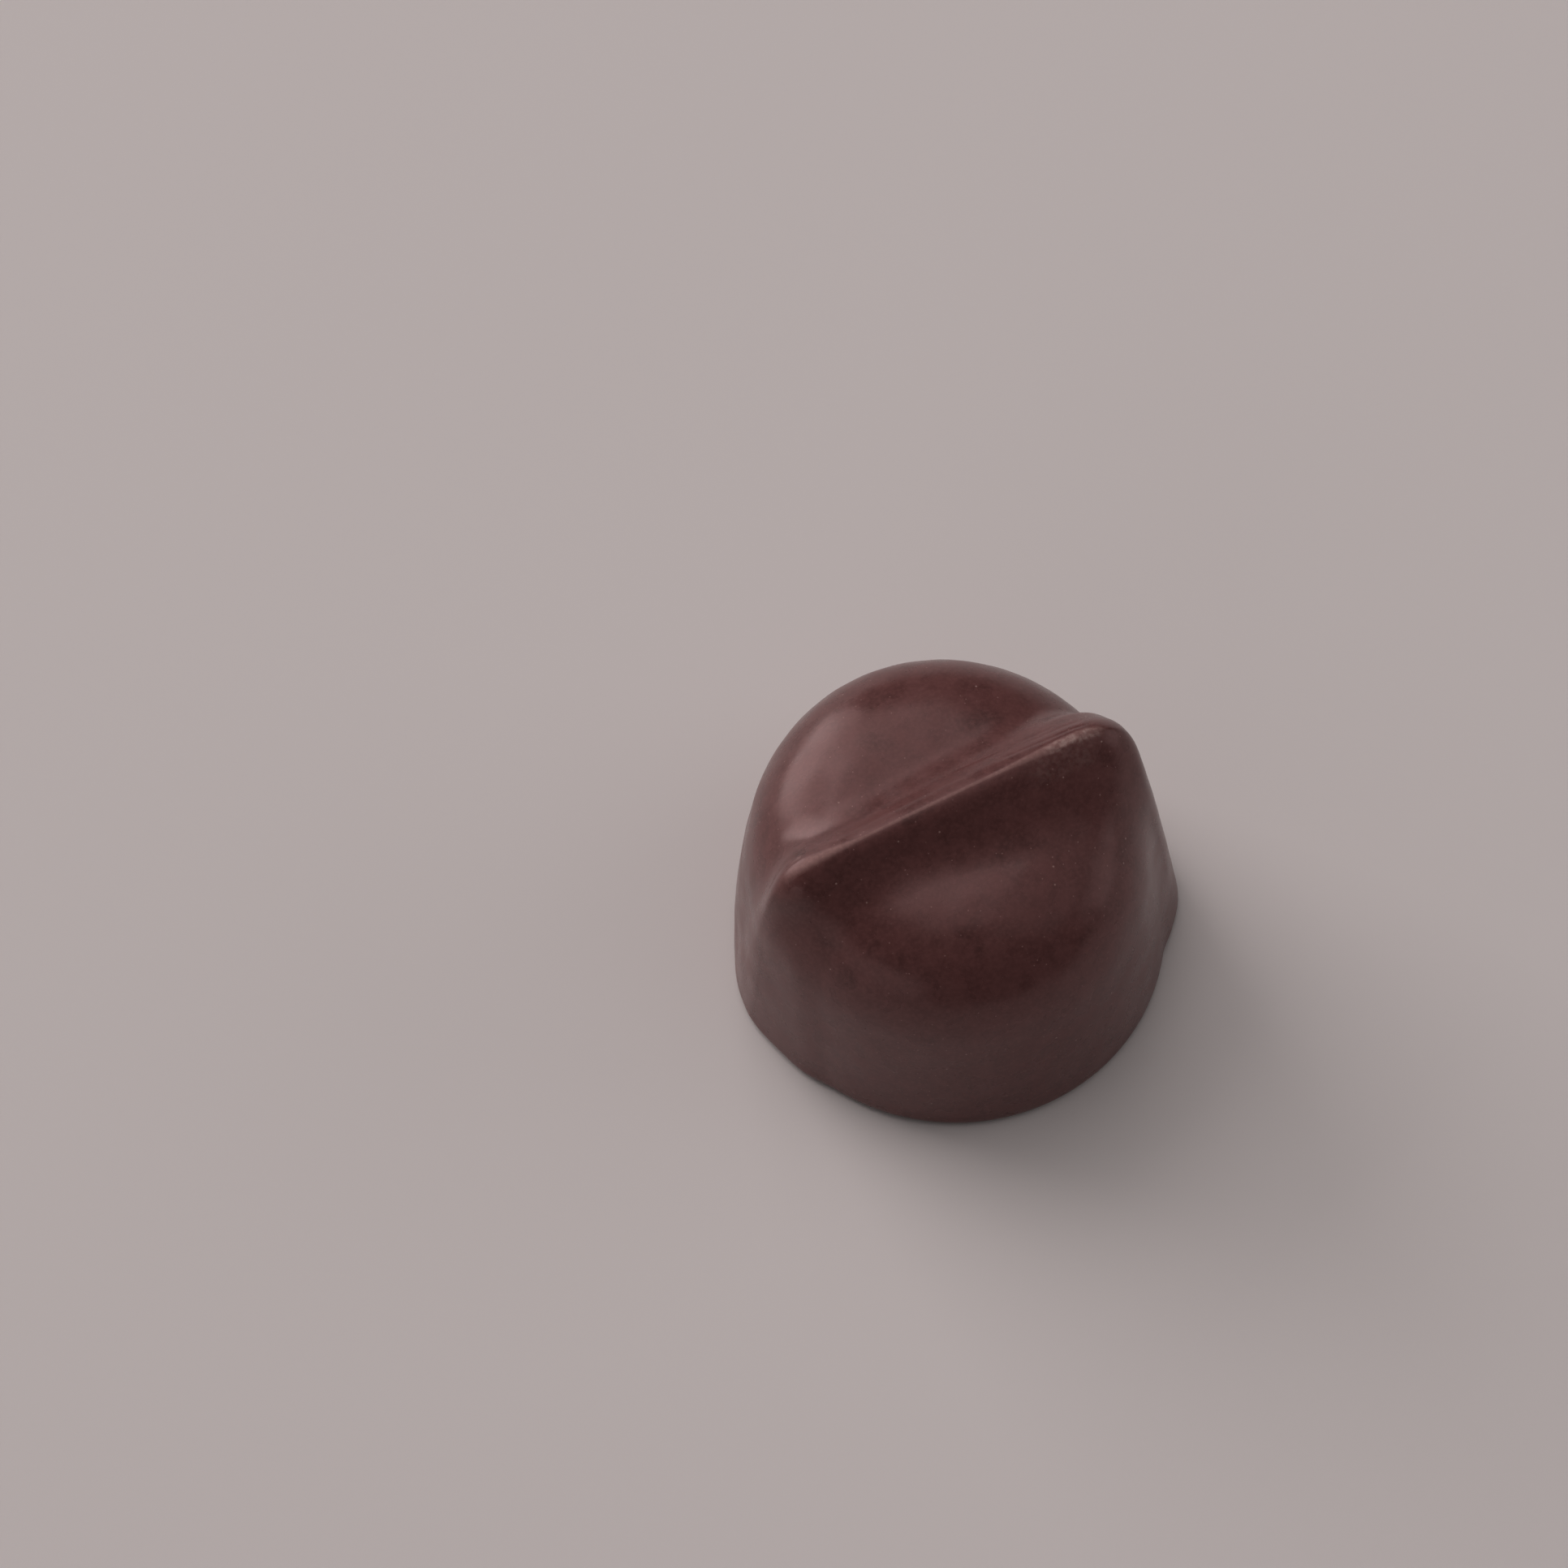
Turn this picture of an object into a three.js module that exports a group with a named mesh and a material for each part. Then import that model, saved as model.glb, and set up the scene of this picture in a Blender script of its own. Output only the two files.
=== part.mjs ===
// A dark chocolate drop: one solid moulded sweet on a flat round base.
// A ridge crosses its top from side to side and runs down both sides as a rib that ends in a blunt foot.
// Millimetres, +Z up. The ridge lies along X, and the origin is the middle of the flat base.
import * as THREE from 'three';

// The round body, a drum whose wall leans in and whose top is nearly flat
const BODY_RADIUS = 14;
const BODY_DEPTH_RATIO = 1.04;
const WALL_LEAN_DEGREES = 8.15;
const WALL_SWELL = 0.38;
const TOP_HEIGHT = 17;
const TOP_CROWN = 0.27;
const TOP_RISE_TO_BACK = 0.051;
const SHOULDER_BLEND = 6.38;
const BASE_EDGE_BLEND = 0.87;

// The ridge, a plate that is sharp along its crest and thickens down to the feet
const CREST_HEIGHT = 19.64;
const CREST_RISE_TO_RIGHT = 0.07;
const CREST_SAG_AT_ENDS = 0.38;
const CREST_SAG_REACH = 12;
const CREST_OFFSET = -0.37;
const CREST_ROUNDING = 0.2;
const CREST_HALF_WIDTH = 0.17;
const CREST_FLANK_DEGREES = 45;
const RIM_BLEND = 0.6;
const CORNER_BLEND = 3.9;

// The ridge's two ends: how far the crest reaches, how the end leans out, how far the foot is turned, the
// foot's half width and how soon it is reached, how much the rib swells half-way down, and how softly the
// crest's last corner is rounded
const LEFT_END = { reach: 12.3, lean: 6.75, turn: 4.5, foot: 1.4, widening: 2, belly: 0, knuckle: 1.4 };
const RIGHT_END = { reach: 12.45, lean: 7.95, turn: 14.03, foot: 1.1, widening: 1, belly: 1.2, knuckle: 3.4 };
const MIDDLE_REACH = 6;

// The flanks below the crest's ends: the leading one faces the way that the rib turns, the other trails
const LEADING_FLANK = { slope: 52, footSlope: 63, root: 4.6, inward: -6 };
const TRAILING_FLANK = { slope: 67.5, footSlope: 65, root: 6.5, inward: 12.5 };
const FLANK_CHANGE = 0.8;
const FLANK_BLEND = 4;
const FLANK_BLEND_DESCENT = 0.3;
const FOOT_DESCENT = 0.45;
const ROOT_TOP = 13;
const ROOT_BLEND = 1.4;

// The valleys between the body and the ridge, filled over these widths
const CREST_VALLEY = 1.06;
const LEFT_FRONT_VALLEY = 1.5;
const RIGHT_FRONT_VALLEY = 0.5;
const BACK_VALLEY = 1;
const VALLEY_SIDE_CHANGE = 1.5;
const VALLEY_TOP = 0.12;
const VALLEY_FOOT = 0.4;

// The mesh: rays from a point below the crest meet the surface, in rings from the base to the crest
const CORE = new THREE.Vector3(0, CREST_OFFSET, 8);
const SEGMENTS = 112;
const RIB_CROWDING = 0.6;
const CREST_SQUEEZE = 0.3;
const SQUEEZE_REACH = 0.9;
const CREST_END_STEEPNESS = 0.7;
const FOOT_STEEPNESS = 0.5;
const BASE_RING_ANGLE = 128;
const WALL_RING_ANGLE = 111;
const BASE_EDGE_RINGS = 14;
const UPPER_RINGS = 37;
const FARTHEST = 30;
const HALVINGS = 40;

const { degToRad: radians, lerp, smoothstep } = THREE.MathUtils;

// The lesser of two distances, with the corner between them filled over a width
function smoothMin(a, b, width) {
  const share = Math.max(width - Math.abs(a - b), 0) / width;
  return Math.min(a, b) - share * share * width / 4;
}

// The greater of two distances, with the edge between them rounded over a width
function smoothMax(a, b, width) {
  return -smoothMin(-a, -b, width);
}

// Distance outside the round body
function bodyDistance(x, y, z) {
  const radius = Math.hypot(x, y / BODY_DEPTH_RATIO);
  const level = z / TOP_HEIGHT;
  const lean = radians(WALL_LEAN_DEGREES);
  const wallRadius = BODY_RADIUS - z * Math.tan(lean) + 4 * WALL_SWELL * level * (1 - level);
  const wall = (radius - wallRadius) * Math.cos(lean);
  const crown = TOP_CROWN * (1 - (radius / BODY_RADIUS) ** 2);
  const top = z - TOP_HEIGHT - crown - TOP_RISE_TO_BACK * y;
  return smoothMax(wall, top, SHOULDER_BLEND);
}

// A size of the ridge's ends, which passes from the left end's to the right end's over the middle
function endSize(name, x) {
  return lerp(LEFT_END[name], RIGHT_END[name], smoothstep(x, -MIDDLE_REACH, MIDDLE_REACH));
}

// A size of a rib's flanks
function flankSize(name, along, across) {
  const rightHand = 2 * smoothstep(along, -MIDDLE_REACH, MIDDLE_REACH) - 1;
  const trailing = smoothstep(across * rightHand, -FLANK_CHANGE, FLANK_CHANGE);
  return lerp(LEADING_FLANK[name], TRAILING_FLANK[name], trailing);
}

// Descent from the crest as a share of its height, and places along and across the ridge,
// which turns a little about the axis on its way down to the feet
function ridgeAxes(x, y, z) {
  const descent = 1 - z / CREST_HEIGHT;
  const turn = radians(endSize('turn', x)) * descent;
  const along = x * Math.cos(turn) - y * Math.sin(turn);
  const across = x * Math.sin(turn) + y * Math.cos(turn) - CREST_OFFSET;
  return { descent, along, across };
}

// Distance outside a flank that falls away at a slope from the ridge's rim
function flankDistance(offRim, depth, slope) {
  return offRim * Math.cos(slope) - Math.max(depth, 0) * Math.sin(slope);
}

// Distance outside the ridge
function ridgeDistance(x, y, z) {
  const { descent, along, across } = ridgeAxes(x, y, z);
  const lean = radians(endSize('lean', x));
  const beyond = Math.abs(along) - endSize('reach', x);
  const pastEnd = beyond * Math.cos(lean) - (CREST_HEIGHT - z) * Math.sin(lean);
  const sag = CREST_SAG_AT_ENDS * (along / CREST_SAG_REACH) ** 2;
  const aboveCrest = z - CREST_HEIGHT - CREST_RISE_TO_RIGHT * along + sag;
  const rim = smoothMax(pastEnd, aboveCrest, CORNER_BLEND);

  const aside = Math.hypot(across, CREST_ROUNDING) - CREST_ROUNDING;
  const widening = Math.max(descent, 0) ** endSize('widening', x);
  const swelling = 4 * endSize('belly', x) * Math.max(descent, 0) * Math.min(1 - descent, 1);
  const offRim = aside - lerp(CREST_HALF_WIDTH, endSize('foot', x), widening) - swelling;
  const footShare = smoothstep(descent, FOOT_DESCENT, 1);
  const slope = lerp(flankSize('slope', along, across), flankSize('footSlope', along, across), footShare);
  const crestFlank = flankDistance(offRim, -aboveCrest, radians(CREST_FLANK_DEGREES));
  const endFlank = flankDistance(offRim, -pastEnd, radians(slope));
  const blend = lerp(endSize('knuckle', x), FLANK_BLEND, smoothstep(descent, 0, FLANK_BLEND_DESCENT));
  const flank = smoothMax(crestFlank, endFlank, blend);

  const atEnd = smoothstep(Math.abs(along), MIDDLE_REACH / 2, MIDDLE_REACH);
  const narrowing = Math.min(z, ROOT_TOP) * Math.tan(radians(flankSize('inward', along, across))) * atEnd;
  const root = aside - flankSize('root', along, across) + narrowing;
  return smoothMax(smoothMax(flank, root, ROOT_BLEND), rim, RIM_BLEND);
}

// Width over which the valley between the body and the ridge is filled
function valleyBlend(x, y, z) {
  const { descent, across } = ridgeAxes(x, y, z);
  const front = lerp(LEFT_FRONT_VALLEY, RIGHT_FRONT_VALLEY, smoothstep(x, -MIDDLE_REACH, MIDDLE_REACH));
  const low = lerp(front, BACK_VALLEY, smoothstep(across, -VALLEY_SIDE_CHANGE, VALLEY_SIDE_CHANGE));
  return lerp(CREST_VALLEY, low, smoothstep(descent, VALLEY_TOP, VALLEY_FOOT));
}

// Distance outside the whole drop, cut off flat at the base
function dropDistance(x, y, z) {
  const moulded = smoothMin(bodyDistance(x, y, z), ridgeDistance(x, y, z), valleyBlend(x, y, z));
  return smoothMax(moulded, -z, BASE_EDGE_BLEND);
}

// The point where a ray from the core leaves the drop, found by halving
function surfacePoint(direction) {
  let inside = 0;
  let outside = FARTHEST;
  for (let i = 0; i < HALVINGS; i += 1) {
    const middle = (inside + outside) / 2;
    const { x, y, z } = CORE.clone().addScaledVector(direction, middle);
    if (dropDistance(x, y, z) < 0) inside = middle;
    else outside = middle;
  }
  return CORE.clone().addScaledVector(direction, inside);
}

// Points of a unit half circle from straight down to straight up, closest together at the base edge
function ringProfile() {
  const angles = [180];
  for (let i = 0; i < BASE_EDGE_RINGS; i += 1) {
    angles.push(lerp(BASE_RING_ANGLE, WALL_RING_ANGLE, i / BASE_EDGE_RINGS));
  }
  for (let i = 0; i < UPPER_RINGS; i += 1) {
    angles.push(lerp(WALL_RING_ANGLE, 0, i / UPPER_RINGS));
  }
  const points = angles.map((angle) => new THREE.Vector2(Math.sin(radians(angle)), Math.cos(radians(angle))));
  points[0].x = 0;
  return [...points, new THREE.Vector2(0, 1)];
}

// Squeezes and turns a ray of an even ball so that the rays lie closest along the crest and the ribs
function rayDirection(ray) {
  const squeeze = lerp(CREST_SQUEEZE, 1, smoothstep(1 - ray.z, 0, SQUEEZE_REACH));
  const squeezed = new THREE.Vector2(ray.x, ray.y * squeeze);
  const meanTurn = radians((LEFT_END.turn + RIGHT_END.turn) / 2);
  const turn = meanTurn * smoothstep(-ray.z, -CREST_END_STEEPNESS, FOOT_STEEPNESS);
  const even = Math.atan2(squeezed.y, squeezed.x);
  const crowded = even - RIB_CROWDING * Math.sin(2 * even) / 2 - turn;
  const reach = squeezed.length();
  return new THREE.Vector3(reach * Math.cos(crowded), reach * Math.sin(crowded), ray.z).normalize();
}

// A ball of rays drawn in to the drop's surface
function dropGeometry() {
  const geometry = new THREE.LatheGeometry(ringProfile(), SEGMENTS);
  geometry.rotateX(Math.PI / 2);
  const position = geometry.attributes.position;
  for (let i = 0; i < position.count; i += 1) {
    const ray = new THREE.Vector3().fromBufferAttribute(position, i);
    const point = surfacePoint(rayDirection(ray));
    position.setXYZ(i, point.x, point.y, point.z);
  }
  geometry.computeVertexNormals();
  return geometry;
}

const chocolate = new THREE.MeshStandardMaterial({ color: 0x3d2420, roughness: 0.38, metalness: 0 });

const drop = new THREE.Mesh(dropGeometry(), chocolate);
drop.name = 'chocolate_drop';

const model = new THREE.Group();
model.add(drop);

export default model;
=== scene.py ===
"""A bare dark chocolate drop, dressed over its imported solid: a moulded sweet with a ridge across its top."""
import math

import bpy
import numpy as np
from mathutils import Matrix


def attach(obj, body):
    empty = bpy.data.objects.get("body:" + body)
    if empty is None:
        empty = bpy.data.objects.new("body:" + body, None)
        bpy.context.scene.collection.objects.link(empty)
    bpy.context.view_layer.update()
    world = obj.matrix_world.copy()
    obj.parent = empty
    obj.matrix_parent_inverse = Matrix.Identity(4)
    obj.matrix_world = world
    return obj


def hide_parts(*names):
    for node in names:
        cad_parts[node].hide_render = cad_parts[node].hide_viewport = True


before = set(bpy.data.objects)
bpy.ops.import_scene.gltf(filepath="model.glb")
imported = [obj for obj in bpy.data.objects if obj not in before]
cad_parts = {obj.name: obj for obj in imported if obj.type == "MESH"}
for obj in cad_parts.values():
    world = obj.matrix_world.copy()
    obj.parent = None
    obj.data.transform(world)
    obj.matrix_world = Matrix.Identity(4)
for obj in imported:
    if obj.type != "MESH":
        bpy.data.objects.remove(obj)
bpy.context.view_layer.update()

# The round body, a drum whose wall leans in and whose top is nearly flat
MILLIMETRE = 0.001
BODY_RADIUS = 14.0
BODY_DEPTH_RATIO = 1.04
WALL_LEAN = math.radians(8.15)
WALL_SWELL = 0.38
TOP_HEIGHT = 17.0
TOP_CROWN = 0.27
TOP_RISE_TO_BACK = 0.051
SHOULDER_BLEND = 6.38


def smooth_step(value, low, high):
    """Rises from 0 at low to 1 at high with soft ends."""
    share = np.clip((value - low) / (high - low), 0.0, 1.0)
    return share * share * (3.0 - 2.0 * share)


def smooth_min(a, b, width):
    """The lesser of two distances, with the corner between them filled over a width."""
    share = np.maximum(width - np.abs(a - b), 0.0) / width
    return np.minimum(a, b) - share * share * width / 4.0


def smooth_max(a, b, width):
    """The greater of two distances, with the edge between them rounded over a width."""
    return -smooth_min(-a, -b, width)


def body_distance(x, y, z):
    """Distance outside the round body."""
    radius = np.hypot(x, y / BODY_DEPTH_RATIO)
    level = z / TOP_HEIGHT
    wall_radius = BODY_RADIUS - z * math.tan(WALL_LEAN) + 4.0 * WALL_SWELL * level * (1.0 - level)
    wall = (radius - wall_radius) * math.cos(WALL_LEAN)
    crown = TOP_CROWN * (1.0 - (radius / BODY_RADIUS) ** 2)
    top = z - TOP_HEIGHT - crown - TOP_RISE_TO_BACK * y
    return smooth_max(wall, top, SHOULDER_BLEND)


# The ridge, a plate that is sharp along its crest and thickens down to the feet
CREST_HEIGHT = 19.64
CREST_RISE_TO_RIGHT = 0.07
CREST_SAG_AT_ENDS = 0.38
CREST_SAG_REACH = 12.0
CREST_OFFSET = -0.37
CREST_ROUNDING = 0.2
CREST_HALF_WIDTH = 0.17
CREST_FLANK_SLOPE = math.radians(45.0)
RIM_BLEND = 0.6
CORNER_BLEND = 3.9

# The ridge's two ends: how far the crest reaches, how the end leans out, how far the foot is turned,
# the foot's half width and how soon it is reached, how much the rib swells half-way down, and how
# softly the crest's last corner is rounded
LEFT_END = {
    "reach": 12.3, "lean": math.radians(6.75), "turn": math.radians(4.5),
    "foot": 1.4, "widening": 2.0, "belly": 0.0, "knuckle": 1.4,
}
RIGHT_END = {
    "reach": 12.45, "lean": math.radians(7.95), "turn": math.radians(14.03),
    "foot": 1.1, "widening": 1.0, "belly": 1.2, "knuckle": 3.4,
}
MIDDLE_REACH = 6.0

# The flanks below the crest's ends: the leading one faces the way that the rib turns, the other trails
LEADING_FLANK = {
    "slope": math.radians(52.0), "foot_slope": math.radians(63.0),
    "root": 4.6, "inward": math.radians(-6.0),
}
TRAILING_FLANK = {
    "slope": math.radians(67.5), "foot_slope": math.radians(65.0),
    "root": 6.5, "inward": math.radians(12.5),
}
FLANK_CHANGE = 0.8
FLANK_BLEND = 4.0
FLANK_BLEND_DESCENT = 0.3
FOOT_DESCENT = 0.45
ROOT_TOP = 13.0
ROOT_BLEND = 1.4


def lerp(a, b, share):
    """The value that lies a share of the way from a to b."""
    return a + (b - a) * share


def end_size(name, x):
    """A size of the ridge's ends, which passes from the left end's to the right end's over the middle."""
    return lerp(LEFT_END[name], RIGHT_END[name], smooth_step(x, -MIDDLE_REACH, MIDDLE_REACH))


def flank_size(name, along, across):
    """A size of a rib's flanks."""
    right_hand = 2.0 * smooth_step(along, -MIDDLE_REACH, MIDDLE_REACH) - 1.0
    trailing = smooth_step(across * right_hand, -FLANK_CHANGE, FLANK_CHANGE)
    return lerp(LEADING_FLANK[name], TRAILING_FLANK[name], trailing)


def ridge_axes(x, y, z):
    """Descent from the crest as a share of its height, and places along and across the turning ridge."""
    descent = 1.0 - z / CREST_HEIGHT
    turn = end_size("turn", x) * descent
    along = x * np.cos(turn) - y * np.sin(turn)
    across = x * np.sin(turn) + y * np.cos(turn) - CREST_OFFSET
    return descent, along, across


def flank_distance(off_rim, depth, slope):
    """Distance outside a flank that falls away at a slope from the ridge's rim."""
    return off_rim * np.cos(slope) - np.maximum(depth, 0.0) * np.sin(slope)


def ridge_distance(x, y, z):
    """Distance outside the ridge, which turns a little about the axis on its way down to the feet."""
    descent, along, across = ridge_axes(x, y, z)
    lean = end_size("lean", x)
    beyond = np.abs(along) - end_size("reach", x)
    past_end = beyond * np.cos(lean) - (CREST_HEIGHT - z) * np.sin(lean)
    sag = CREST_SAG_AT_ENDS * (along / CREST_SAG_REACH) ** 2
    above_crest = z - CREST_HEIGHT - CREST_RISE_TO_RIGHT * along + sag
    rim = smooth_max(past_end, above_crest, CORNER_BLEND)

    aside = np.hypot(across, CREST_ROUNDING) - CREST_ROUNDING
    widening = np.maximum(descent, 0.0) ** end_size("widening", x)
    swelling = end_size("belly", x) * 4.0 * np.maximum(descent, 0.0) * np.minimum(1.0 - descent, 1.0)
    off_rim = aside - lerp(CREST_HALF_WIDTH, end_size("foot", x), widening) - swelling
    foot_share = smooth_step(descent, FOOT_DESCENT, 1.0)
    slope = lerp(flank_size("slope", along, across), flank_size("foot_slope", along, across), foot_share)
    crest_flank = flank_distance(off_rim, -above_crest, CREST_FLANK_SLOPE)
    end_flank = flank_distance(off_rim, -past_end, slope)
    blend = lerp(end_size("knuckle", x), FLANK_BLEND, smooth_step(descent, 0.0, FLANK_BLEND_DESCENT))
    flank = smooth_max(crest_flank, end_flank, blend)

    at_end = smooth_step(np.abs(along), MIDDLE_REACH / 2.0, MIDDLE_REACH)
    narrowing = np.minimum(z, ROOT_TOP) * np.tan(flank_size("inward", along, across)) * at_end
    root = aside - flank_size("root", along, across) + narrowing
    return smooth_max(smooth_max(flank, root, ROOT_BLEND), rim, RIM_BLEND)


# The valleys between the body and the ridge, filled over these widths, and the rounded edge of the base
CREST_VALLEY = 1.06
LEFT_FRONT_VALLEY = 1.5
RIGHT_FRONT_VALLEY = 0.5
BACK_VALLEY = 1.0
VALLEY_SIDE_CHANGE = 1.5
VALLEY_TOP = 0.12
VALLEY_FOOT = 0.4
BASE_EDGE_BLEND = 0.87


def valley_blend(x, y, z):
    """Width over which the valley between the body and the ridge is filled."""
    descent, _, across = ridge_axes(x, y, z)
    front = lerp(LEFT_FRONT_VALLEY, RIGHT_FRONT_VALLEY, smooth_step(x, -MIDDLE_REACH, MIDDLE_REACH))
    low = lerp(front, BACK_VALLEY, smooth_step(across, -VALLEY_SIDE_CHANGE, VALLEY_SIDE_CHANGE))
    return lerp(CREST_VALLEY, low, smooth_step(descent, VALLEY_TOP, VALLEY_FOOT))


def drop_distance(points):
    """Distance outside the whole drop, cut off flat at the base."""
    x, y, z = points[..., 0], points[..., 1], points[..., 2]
    moulded = smooth_min(body_distance(x, y, z), ridge_distance(x, y, z), valley_blend(x, y, z))
    return smooth_max(moulded, -z, BASE_EDGE_BLEND)


# The mesh: rays from a point below the crest meet the surface, in rings from the base to the crest
CORE = np.array([0.0, CREST_OFFSET, 8.0])
SEGMENTS = 440
RIB_CROWDING = 0.6
CREST_SQUEEZE = 0.3
SQUEEZE_REACH = 0.9
CREST_END_STEEPNESS = 0.7
FOOT_STEEPNESS = 0.5
BASE_RING_ANGLE = math.radians(128)
WALL_RING_ANGLE = math.radians(111)
BASE_EDGE_RINGS = 44
UPPER_RINGS = 168
FARTHEST = 30.0
HALVINGS = 36


def ray_directions():
    """Rays from the core in rings from the base edge to the crest, closest along the crest and the ribs."""
    edge = np.linspace(BASE_RING_ANGLE, WALL_RING_ANGLE, BASE_EDGE_RINGS, endpoint=False)
    upper = np.linspace(WALL_RING_ANGLE, 0.0, UPPER_RINGS, endpoint=False)
    tilt = np.concatenate([edge, upper])[:, None]
    round_angle = np.linspace(0.0, 2.0 * math.pi, SEGMENTS, endpoint=False)[None, :]
    up = np.cos(tilt) * np.ones_like(round_angle)
    squeeze = CREST_SQUEEZE + (1.0 - CREST_SQUEEZE) * smooth_step(1.0 - up, 0.0, SQUEEZE_REACH)
    side = np.sin(tilt) * np.cos(round_angle)
    depth = np.sin(tilt) * np.sin(round_angle) * squeeze
    even = np.arctan2(depth, side)
    mean_turn = (LEFT_END["turn"] + RIGHT_END["turn"]) / 2.0
    turn = mean_turn * smooth_step(-up, -CREST_END_STEEPNESS, FOOT_STEEPNESS)
    crowded = even - RIB_CROWDING * np.sin(2.0 * even) / 2.0 - turn
    reach = np.hypot(side, depth)
    rays = np.stack([reach * np.cos(crowded), reach * np.sin(crowded), up], axis=-1)
    return rays / np.linalg.norm(rays, axis=-1, keepdims=True)


def surface_points(rays):
    """Where rays from the core leave the drop, found by halving."""
    inside = np.zeros(rays.shape[:-1])
    outside = np.full(rays.shape[:-1], FARTHEST)
    for _ in range(HALVINGS):
        middle = (inside + outside) / 2.0
        within = drop_distance(CORE + rays * middle[..., None]) < 0.0
        inside = np.where(within, middle, inside)
        outside = np.where(within, outside, middle)
    return CORE + rays * inside[..., None]


def ring_faces(ring_count):
    """Quads between neighbouring rings, with fans to the middle of the base and to the top of the crest."""
    index = np.arange(ring_count * SEGMENTS).reshape(ring_count, SEGMENTS)
    beside = np.roll(index, -1, axis=1)
    quads = np.stack([index[:-1], beside[:-1], beside[1:], index[1:]], axis=-1).reshape(-1, 4)
    base = ring_count * SEGMENTS
    top = base + 1
    base_fan = [(base, b, a) for a, b in zip(index[0].tolist(), beside[0].tolist())]
    top_fan = [(a, b, top) for a, b in zip(index[-1].tolist(), beside[-1].tolist())]
    return quads.tolist() + base_fan + top_fan


# The skin's low relief: shallow swells all over, and fine marks dragged along behind the crest's ends
SWELL_SEED = 11
SWELL_WAVES = 30
SWELL_LENGTHS = (1.6, 4.6)
SWELL_HEIGHT = 0.012
SKIN_LOW = 0.3
SKIN_FULL = 1.6
DRAG_MARKS = [
    {"start": -11.7, "stop": -8.6, "across": 0.75, "slant": 0.05},
    {"start": -11.9, "stop": -9.2, "across": 1.2, "slant": 0.08},
    {"start": -11.6, "stop": -9.8, "across": 1.65, "slant": 0.1},
    {"start": 3.5, "stop": 10.6, "across": 1.0, "slant": -0.05},
    {"start": 5.5, "stop": 10.2, "across": 1.5, "slant": -0.04},
    {"start": 1.0, "stop": 8.5, "across": 2.0, "slant": -0.03},
]
MARK_DEPTH = 0.035
MARK_WIDTH = 0.16
MARK_FADE = 1.2


def seeded_waves(points, seed, count, lengths):
    """A sum of waves that run every way through the drop, about one high."""
    draws = np.random.default_rng(seed)
    total = np.zeros(points.shape[:-1])
    for _ in range(count):
        way = draws.normal(size=3)
        way /= np.linalg.norm(way)
        length = draws.uniform(*lengths)
        total += np.sin(points @ way * 2.0 * math.pi / length + draws.uniform(0.0, 2.0 * math.pi))
    return total / math.sqrt(count)


def between(value, start, stop, fade):
    """One from start to stop, with a soft fade inside each end."""
    return smooth_step(value, start, start + fade) * (1.0 - smooth_step(value, stop - fade, stop))


def drag_marks(along, across):
    """Depth of the fine marks that run beside the crest, behind its two ends."""
    depth = np.zeros_like(along)
    for mark in DRAG_MARKS:
        off_line = across - mark["across"] - mark["slant"] * (along - mark["start"])
        on_length = between(along, mark["start"], mark["stop"], MARK_FADE)
        depth += on_length * np.exp(-(off_line / MARK_WIDTH) ** 2)
    return MARK_DEPTH * depth


# The wear along the crest: a rubbed line that is broader near both ends, painted lighter partly as wear and
# partly as a painted highlight, and scuffs and crumbs on the right
CREST_TOP_DESCENT = 0.05
CREST_TOP_BAND_DESCENT = 0.12
RUBBED_HIGHLIGHT_LENGTH = {"start": -12.6, "stop": 11.2, "fade": 0.8}
RUBBED_HIGHLIGHT_HALF_WIDTH = 0.09
RUBBED_HIGHLIGHT_CORE = 0.5
RUBBED_HIGHLIGHT_EDGE = 1.6
LEFT_BAND = {"start": -12.3, "full": -10.8, "thinning": -9.8, "stop": -5.5}
LEFT_BAND_EXTRA = 0.24
LEFT_BAND_SHIFT = 0.6
RIGHT_BAND = {"start": 2.5, "full": 8.5, "thinning": 9.6, "stop": 10.8}
RIGHT_BAND_EXTRA = 0.2
SCUFFED_CREST = {"start": 6.2, "stop": 11.0, "fade": 1.4}
SCUFFED_CREST_LINE = -0.05
SCUFFED_CREST_CORE = 0.15
SCUFFED_CREST_EDGE = 0.5
SCUFFED_FACE_LENGTH = {"start": 4.5, "stop": 10.5, "fade": 1.6}
SCUFFED_FACE_WIDTH = {"start": -1.9, "stop": 0.1, "fade": 0.6}
SCUFFED_FACE_SHARE = 0.16
CRUMB_SEED = 5
CRUMB_WAVES = 40
CRUMB_LENGTHS = (0.25, 0.8)
CRUMB_HEIGHT = 0.028


def band_share(along, band):
    """How far a broader band of wear has grown at a place along the crest."""
    grown = smooth_step(along, band["start"], band["full"])
    return grown * (1.0 - smooth_step(along, band["thinning"], band["stop"]))


def crest_wear_and_highlight(descent, along, across):
    """How far the crest is rubbed, painted lighter partly as wear and partly as a painted highlight: a thin
    line in the middle and a broader band near each end.
    """
    left = band_share(along, LEFT_BAND)
    right = band_share(along, RIGHT_BAND)
    half_width = RUBBED_HIGHLIGHT_HALF_WIDTH + LEFT_BAND_EXTRA * left + RIGHT_BAND_EXTRA * right
    shift = LEFT_BAND_EXTRA * left * LEFT_BAND_SHIFT
    off_band = np.abs(across - shift) / half_width
    on_crest = 1.0 - smooth_step(descent, CREST_TOP_DESCENT, CREST_TOP_BAND_DESCENT)
    on_band = 1.0 - smooth_step(off_band, RUBBED_HIGHLIGHT_CORE, RUBBED_HIGHLIGHT_EDGE)
    return on_band * on_crest * between(along, **RUBBED_HIGHLIGHT_LENGTH)


def near_top(descent):
    """One along the top of the ridge, fading out a little below it."""
    return 1.0 - smooth_step(descent, CREST_TOP_BAND_DESCENT, 2.0 * CREST_TOP_BAND_DESCENT)


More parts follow.
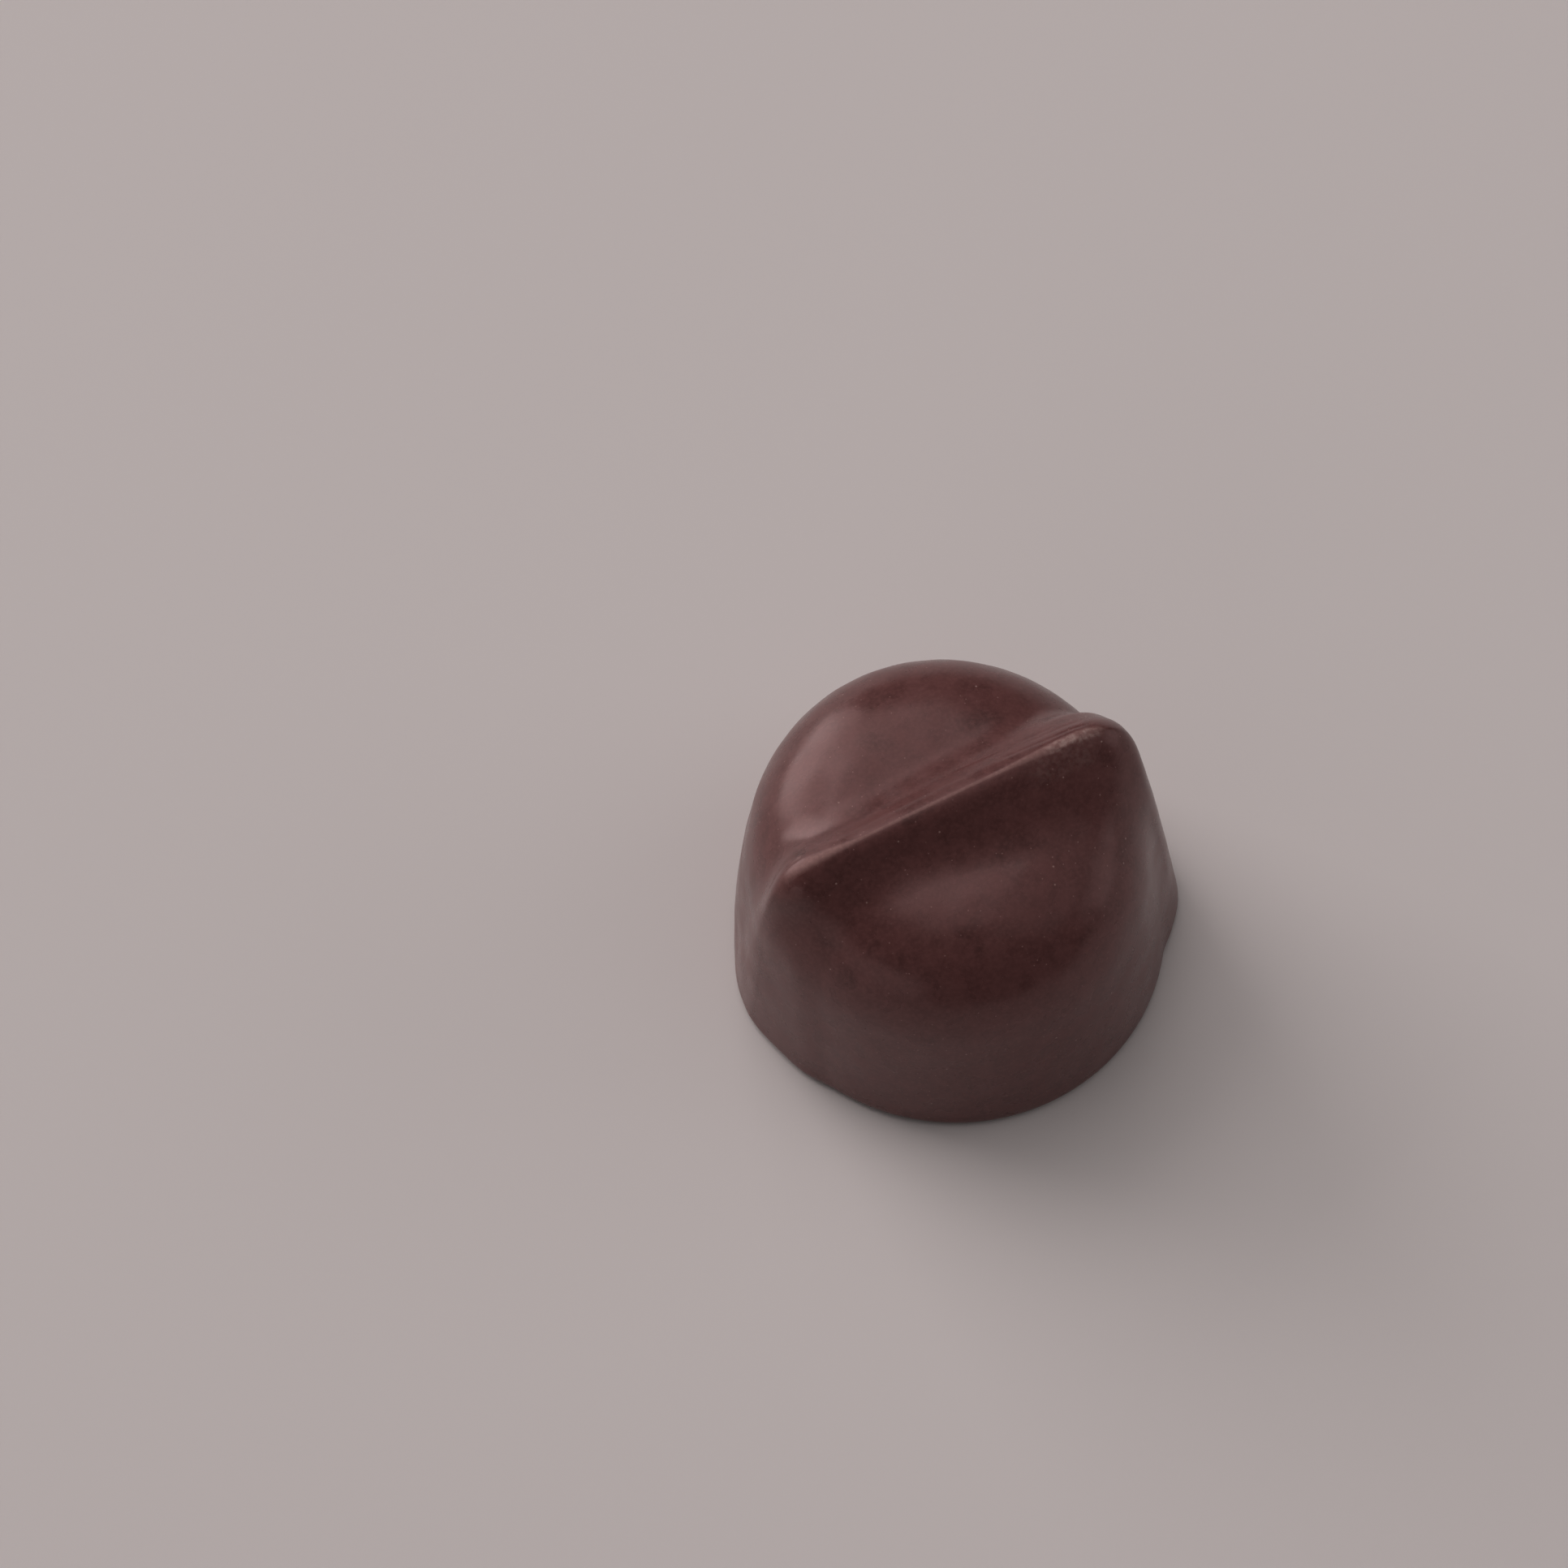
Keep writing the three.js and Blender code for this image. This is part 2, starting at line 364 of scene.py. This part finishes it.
def crest_scuff(descent, along, across):
    """Where the right end of the crest and the face in front of it are scuffed and crumbling."""
    off_line = np.abs(across - SCUFFED_CREST_LINE)
    on_line = 1.0 - smooth_step(off_line, SCUFFED_CREST_CORE, SCUFFED_CREST_EDGE)
    on_crest = on_line * between(along, **SCUFFED_CREST)
    on_width = between(across, **SCUFFED_FACE_WIDTH)
    on_face = SCUFFED_FACE_SHARE * on_width * between(along, **SCUFFED_FACE_LENGTH)
    return np.maximum(on_crest, on_face) * near_top(descent)


# The piece itself, which replaces the plain solid
rays = ray_directions()
rings = surface_points(rays)
poles = surface_points(np.array([[0.0, 0.0, -1.0], [0.0, 0.0, 1.0]]))
drop_points = np.concatenate([rings.reshape(-1, 3), poles])
drop_descent, drop_along, drop_across = ridge_axes(*drop_points.T)
# The crest's rubbed line is partly wear and partly a painted highlight
wear_and_highlight = crest_wear_and_highlight(drop_descent, drop_along, drop_across)
scuff = crest_scuff(drop_descent, drop_along, drop_across)
swell = SWELL_HEIGHT * seeded_waves(drop_points, SWELL_SEED, SWELL_WAVES, SWELL_LENGTHS)
crumbs = CRUMB_HEIGHT * scuff * seeded_waves(drop_points, CRUMB_SEED, CRUMB_WAVES, CRUMB_LENGTHS)
marks = drag_marks(drop_along, drop_across) * near_top(drop_descent)
relief = (swell + crumbs - marks) * smooth_step(drop_points[:, 2], SKIN_LOW, SKIN_FULL)
outward = drop_points - CORE
outward /= np.linalg.norm(outward, axis=-1, keepdims=True)
skin_points = drop_points + outward * relief[:, None]
drop_mesh = bpy.data.meshes.new("chocolate_drop_skin")
drop_mesh.from_pydata((skin_points * MILLIMETRE).tolist(), [], ring_faces(len(rings)))
drop_mesh.polygons.foreach_set("use_smooth", [True] * len(drop_mesh.polygons))
for mask_name, mask in (("crest_wear_and_highlight", wear_and_highlight), ("crest_scuff", scuff)):
    mask_layer = drop_mesh.attributes.new(mask_name, "FLOAT", "POINT")
    mask_layer.data.foreach_set("value", mask.astype(np.float32))
drop = bpy.data.objects.new("chocolate_drop_skin", drop_mesh)
bpy.context.collection.objects.link(drop)

# The chocolate: satin, mottled and finely grained, with pale specks, pores painted as dark dots of shade,
# painted shade in blots over its upper part and a rubbed crest that is partly a painted highlight; ranges are
# of noise
DEEP_BROWN = (0.099, 0.0397, 0.0378, 1.0)
WARM_BROWN = (0.125, 0.0504, 0.0481, 1.0)
MOTTLE_SIZE = 1.1
MOTTLE_RANGE = (0.35, 0.65)
# Painted shade: the darker brown of soft blots over the upper part of the drop
BLOT_SHADE_BROWN = (0.055, 0.0225, 0.0210, 1.0)
BLOT_SHADE_SIZE = 2.6
BLOT_SHADE_DETAIL = 4.0
BLOT_SHADE_RANGE = (0.58, 0.72)
BLOT_SHADE_SHARE = 0.7
BLOT_SHADE_LOWEST = 9.0 * MILLIMETRE
BLOT_SHADE_STRONGEST = 14.0 * MILLIMETRE
GRAIN_BROWN = (0.170, 0.073, 0.069, 1.0)
GRAIN_SIZE = 0.26
GRAIN_RANGE = (0.42, 0.72)
GRAIN_SHARE = 0.5
GRAIN_BUMP = 0.003 * MILLIMETRE
# Painted shade: pores are near-black dots of colour, standing for the shade inside pits that the mesh lacks
PORE_SHADE_BLACK = (0.018, 0.007, 0.006, 1.0)
PORE_CELL = 1.5
PORE_RADIUS = 0.07
FINE_SPECK_TAN = (0.26, 0.145, 0.135, 1.0)
FINE_SPECK_CELL = 0.62
FINE_SPECK_RADIUS = 0.06
SPECK_TAN = (0.35, 0.225, 0.205, 1.0)
SPECK_CELL = 1.5
SPECK_RADIUS = 0.08
DOT_CORE = 0.5
# Painted highlight and wear: the paler brown of the crest's rubbed line
RUBBED_HIGHLIGHT_BROWN = (0.26, 0.150, 0.138, 1.0)
RUBBED_HIGHLIGHT_GRAIN_RANGE = (0.3, 0.7)
RUBBED_HIGHLIGHT_SHARES = (0.5, 0.9)
SCUFF_TAN = (0.36, 0.25, 0.23, 1.0)
CRUMB_SIZE = 0.3
CRUMB_RANGE = (0.4, 0.66)
FINE_DETAIL = 3.0
BLOTCH_SIZE = 2.2
BLOTCH_RANGE = (0.35, 0.65)
SATIN_ROUGHNESS = (0.24, 0.33)
WORN_EXTRA_ROUGHNESS = 0.25
GLOSS_TINT = (1.0, 0.72, 0.71, 1.0)
CHOCOLATE_IOR = 1.5


def noise(tree, place, size, detail=FINE_DETAIL):
    """Soft noise whose lumps are a size across, in millimetres."""
    node = tree.nodes.new("ShaderNodeTexNoise")
    node.inputs["Scale"].default_value = 1.0 / (size * MILLIMETRE)
    node.inputs["Detail"].default_value = detail
    tree.links.new(place, node.inputs["Vector"])
    return node.outputs["Fac"]


def remap(tree, value, low, high, at_low=0.0, at_high=1.0):
    """A value carried from one range to another and held at its ends."""
    node = tree.nodes.new("ShaderNodeMapRange")
    node.inputs["From Min"].default_value = low
    node.inputs["From Max"].default_value = high
    node.inputs["To Min"].default_value = at_low
    node.inputs["To Max"].default_value = at_high
    tree.links.new(value, node.inputs["Value"])
    return node.outputs["Result"]


def dots(tree, place, cell, radius):
    """Round dots of a radius, one in each cell of the chocolate, in millimetres."""
    node = tree.nodes.new("ShaderNodeTexVoronoi")
    node.inputs["Scale"].default_value = 1.0 / (cell * MILLIMETRE)
    tree.links.new(place, node.inputs["Vector"])
    return remap(tree, node.outputs["Distance"], DOT_CORE * radius / cell, radius / cell, 1.0, 0.0)


def arithmetic(tree, operation, a, b):
    """Two values joined by an operation, such as a sum or a product."""
    node = tree.nodes.new("ShaderNodeMath")
    node.operation = operation
    tree.links.new(a, node.inputs[0])
    tree.links.new(b, node.inputs[1])
    return node.outputs["Value"]


def mask_value(tree, name):
    """A mask that is stored on the drop's mesh."""
    node = tree.nodes.new("ShaderNodeAttribute")
    node.attribute_name = name
    return node.outputs["Fac"]


def tinted(tree, share, under, over):
    """One colour laid over another by a share; under is a colour or another node's."""
    node = tree.nodes.new("ShaderNodeMix")
    node.data_type = "RGBA"
    tree.links.new(share, node.inputs["Factor"])
    colours = [socket for socket in node.inputs if socket.type == "RGBA"]
    if isinstance(under, tuple):
        colours[0].default_value = under
    else:
        tree.links.new(under, colours[0])
    colours[1].default_value = over
    return [socket for socket in node.outputs if socket.type == "RGBA"][0]


def painted_blot_shade(tree, place):
    """How far the upper part of the drop is darkened in soft blots of painted shade, standing in for the
    blotchy edges of the reflection there.
    """
    height = tree.nodes.new("ShaderNodeSeparateXYZ")
    tree.links.new(place, height.inputs["Vector"])
    upper = remap(tree, height.outputs["Z"], BLOT_SHADE_LOWEST, BLOT_SHADE_STRONGEST)
    blots = remap(tree, noise(tree, place, BLOT_SHADE_SIZE, BLOT_SHADE_DETAIL), *BLOT_SHADE_RANGE, 0.0, BLOT_SHADE_SHARE)
    return arithmetic(tree, "MULTIPLY", blots, upper)


def chocolate_colour(tree, place, grain, worn_and_highlit, scuffed):
    """Mottled brown with grain and specks, pores and blots of painted shade, rubbed pale along the crest as
    wear and painted highlight, and scuffed pale there.
    """
    mottle = remap(tree, noise(tree, place, MOTTLE_SIZE), *MOTTLE_RANGE)
    rubbed_highlight = arithmetic(tree, "MULTIPLY", worn_and_highlit, remap(tree, grain, *RUBBED_HIGHLIGHT_GRAIN_RANGE, *RUBBED_HIGHLIGHT_SHARES))
    crumble = remap(tree, noise(tree, place, CRUMB_SIZE), *CRUMB_RANGE)
    colour = tinted(tree, mottle, DEEP_BROWN, WARM_BROWN)
    # Painted shade: dark blots laid over the upper part of the drop
    colour = tinted(tree, painted_blot_shade(tree, place), colour, BLOT_SHADE_BROWN)
    colour = tinted(tree, remap(tree, grain, *GRAIN_RANGE, 0.0, GRAIN_SHARE), colour, GRAIN_BROWN)
    # Painted shade: the pores as near-black dots
    colour = tinted(tree, dots(tree, place, PORE_CELL, PORE_RADIUS), colour, PORE_SHADE_BLACK)
    colour = tinted(tree, dots(tree, place, FINE_SPECK_CELL, FINE_SPECK_RADIUS), colour, FINE_SPECK_TAN)
    colour = tinted(tree, dots(tree, place, SPECK_CELL, SPECK_RADIUS), colour, SPECK_TAN)
    # Painted highlight and wear: the crest's rubbed line is laid on pale
    colour = tinted(tree, rubbed_highlight, colour, RUBBED_HIGHLIGHT_BROWN)
    return tinted(tree, arithmetic(tree, "MULTIPLY", scuffed, crumble), colour, SCUFF_TAN)


def chocolate_material():
    """Satin dark chocolate, duller where the crest is worn."""
    material = bpy.data.materials.new("dark_chocolate")
    material.use_nodes = True
    tree = material.node_tree
    shader = tree.nodes["Principled BSDF"]
    place = tree.nodes.new("ShaderNodeTexCoord").outputs["Object"]
    worn_and_highlit = mask_value(tree, "crest_wear_and_highlight")
    scuffed = mask_value(tree, "crest_scuff")
    grain = noise(tree, place, GRAIN_SIZE)
    tree.links.new(chocolate_colour(tree, place, grain, worn_and_highlit, scuffed), shader.inputs["Base Color"])

    satin = remap(tree, noise(tree, place, BLOTCH_SIZE), *BLOTCH_RANGE, *SATIN_ROUGHNESS)
    most_worn_and_highlit = arithmetic(tree, "MAXIMUM", worn_and_highlit, scuffed)
    dulled = remap(tree, most_worn_and_highlit, 0.0, 1.0, 0.0, WORN_EXTRA_ROUGHNESS)
    tree.links.new(arithmetic(tree, "ADD", satin, dulled), shader.inputs["Roughness"])

    bump = tree.nodes.new("ShaderNodeBump")
    bump.inputs["Distance"].default_value = GRAIN_BUMP
    tree.links.new(grain, bump.inputs["Height"])
    tree.links.new(bump.outputs["Normal"], shader.inputs["Normal"])
    shader.inputs["IOR"].default_value = CHOCOLATE_IOR
    shader.inputs["Specular Tint"].default_value = GLOSS_TINT
    return material


drop_mesh.materials.append(chocolate_material())
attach(drop, "root")
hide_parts("chocolate_drop")

# The floor
# A wide pale matt sheet, laid flat, that the drop stands on.
# It is part of the studio, not of the drop.
FLOOR_HALF_SIDE = 4.0
FLOOR_WHITE = (0.8, 0.79, 0.785, 1.0)
FLOOR_ROUGHNESS = 0.9
CORNER_SIGNS = [(-1, -1), (1, -1), (1, 1), (-1, 1)]

floor_corners = [(x * FLOOR_HALF_SIDE, y * FLOOR_HALF_SIDE, 0.0) for x, y in CORNER_SIGNS]
floor_mesh = bpy.data.meshes.new("floor")
floor_mesh.from_pydata(floor_corners, [], [(0, 1, 2, 3)])
floor = bpy.data.objects.new("floor", floor_mesh)
bpy.context.collection.objects.link(floor)
floor_material = bpy.data.materials.new("floor_sheet")
floor_material.use_nodes = True
floor_shader = floor_material.node_tree.nodes["Principled BSDF"]
floor_shader.inputs["Base Color"].default_value = FLOOR_WHITE
floor_shader.inputs["Roughness"].default_value = FLOOR_ROUGHNESS
floor_mesh.materials.append(floor_material)

# The light
# Soft panels, a little warm, stand round the drop at one distance, all facing it.
# The strongest are like windows behind it on the left, and weaker ones fill in from above and from
# the sides, over a dim even room.
from mathutils import Matrix, Vector

PANEL_DISTANCE = 2.4
PANEL_WARMTH = (1.0, 0.88, 0.865)
PANELS = {
    "low_window": {"azimuth": -158, "elevation": 19, "width": 1.75, "height": 1.56, "brightness": 3.15},
    "high_window": {"azimuth": -158, "elevation": 48, "width": 1.29, "height": 0.85, "brightness": 1.5},
    "left_window": {"azimuth": -115, "elevation": 20, "width": 1.75, "height": 1.29, "brightness": 0.5},
    "top_panel": {"azimuth": 175, "elevation": 62, "width": 1.47, "height": 2.04, "brightness": 1.3},
    "zenith_panel": {"azimuth": 0, "elevation": 88, "width": 1.29, "height": 0.85, "brightness": 0.6},
    "right_panel": {"azimuth": 75, "elevation": 16, "width": 1.75, "height": 1.11, "brightness": 0.85},
    "high_right_panel": {"azimuth": 60, "elevation": 55, "width": 1.75, "height": 1.75, "brightness": 0.35},
    "left_panel": {"azimuth": -60, "elevation": 16, "width": 1.75, "height": 1.11, "brightness": 0.52},
}
ROOM_WHITE = (1.0, 1.0, 1.0, 1.0)
ROOM_STRENGTH = 0.05


def toward(azimuth, elevation):
    """Direction from the drop to a place in the studio; azimuth 0 is in front and 90 on the right."""
    a = math.radians(azimuth)
    e = math.radians(elevation)
    return Vector((math.sin(a) * math.cos(e), -math.cos(a) * math.cos(e), math.sin(e)))


def soft_panel(name, azimuth, elevation, width, height, brightness):
    """A rectangular area light that faces the drop and isn't seen itself."""
    data = bpy.data.lights.new(name, "AREA")
    data.shape = "RECTANGLE"
    data.size = width
    data.size_y = height
    data.energy = math.pi * width * height * brightness
    data.color = PANEL_WARMTH
    light = bpy.data.objects.new(name, data)
    way = toward(azimuth, elevation)
    light.location = way * PANEL_DISTANCE
    light.rotation_mode = "QUATERNION"
    light.rotation_quaternion = way.to_track_quat("Z", "Y")
    light.visible_camera = False
    bpy.context.collection.objects.link(light)


for panel_name, panel in PANELS.items():
    soft_panel(panel_name, **panel)
room = bpy.data.worlds.new("room")
bpy.context.scene.world = room
room.use_nodes = True
room_light = room.node_tree.nodes["Background"]
room_light.inputs["Color"].default_value = ROOM_WHITE
room_light.inputs["Strength"].default_value = ROOM_STRENGTH
bpy.context.scene.view_settings.view_transform = "Standard"

# The camera
# It looks down on the drop from the front left, from less than an arm's length, as the photograph does.
# The middle of the base and the scale there are fitted to the photograph's frame.
CAMERA_AZIMUTH = -25.0
CAMERA_ELEVATION = 64.73
CAMERA_ROLL = math.radians(-1.27)
CAMERA_DISTANCE = 0.4045
FRAME_PIXELS = 1932
BASE_MIDDLE_PIXEL = (1169.8, 1138.7)
PIXELS_PER_METRE = 18804.0
SENSOR_WIDTH = 36.0
NEAREST_SEEN = 0.01
FARTHEST_SEEN = 10.0

back = toward(CAMERA_AZIMUTH, CAMERA_ELEVATION)
level_right = Vector((math.cos(math.radians(CAMERA_AZIMUTH)), math.sin(math.radians(CAMERA_AZIMUTH)), 0.0))
level_up = back.cross(level_right)
right = level_right * math.cos(CAMERA_ROLL) + level_up * math.sin(CAMERA_ROLL)
up = back.cross(right)
aside = (FRAME_PIXELS / 2 - BASE_MIDDLE_PIXEL[0]) / PIXELS_PER_METRE
above = (BASE_MIDDLE_PIXEL[1] - FRAME_PIXELS / 2) / PIXELS_PER_METRE
aim = right * aside + up * above
camera_data = bpy.data.cameras.new("camera")
camera_data.sensor_width = SENSOR_WIDTH
camera_data.lens = PIXELS_PER_METRE * CAMERA_DISTANCE * SENSOR_WIDTH / FRAME_PIXELS
camera_data.clip_start = NEAREST_SEEN
camera_data.clip_end = FARTHEST_SEEN
camera = bpy.data.objects.new("camera", camera_data)
camera_place = back * CAMERA_DISTANCE
away = (camera_place - aim).normalized()
side = up.cross(away).normalized()
turn = Matrix((side, away.cross(side), away)).transposed()
camera.matrix_world = Matrix.Translation(camera_place) @ turn.to_4x4()
bpy.context.collection.objects.link(camera)
bpy.context.scene.camera = camera
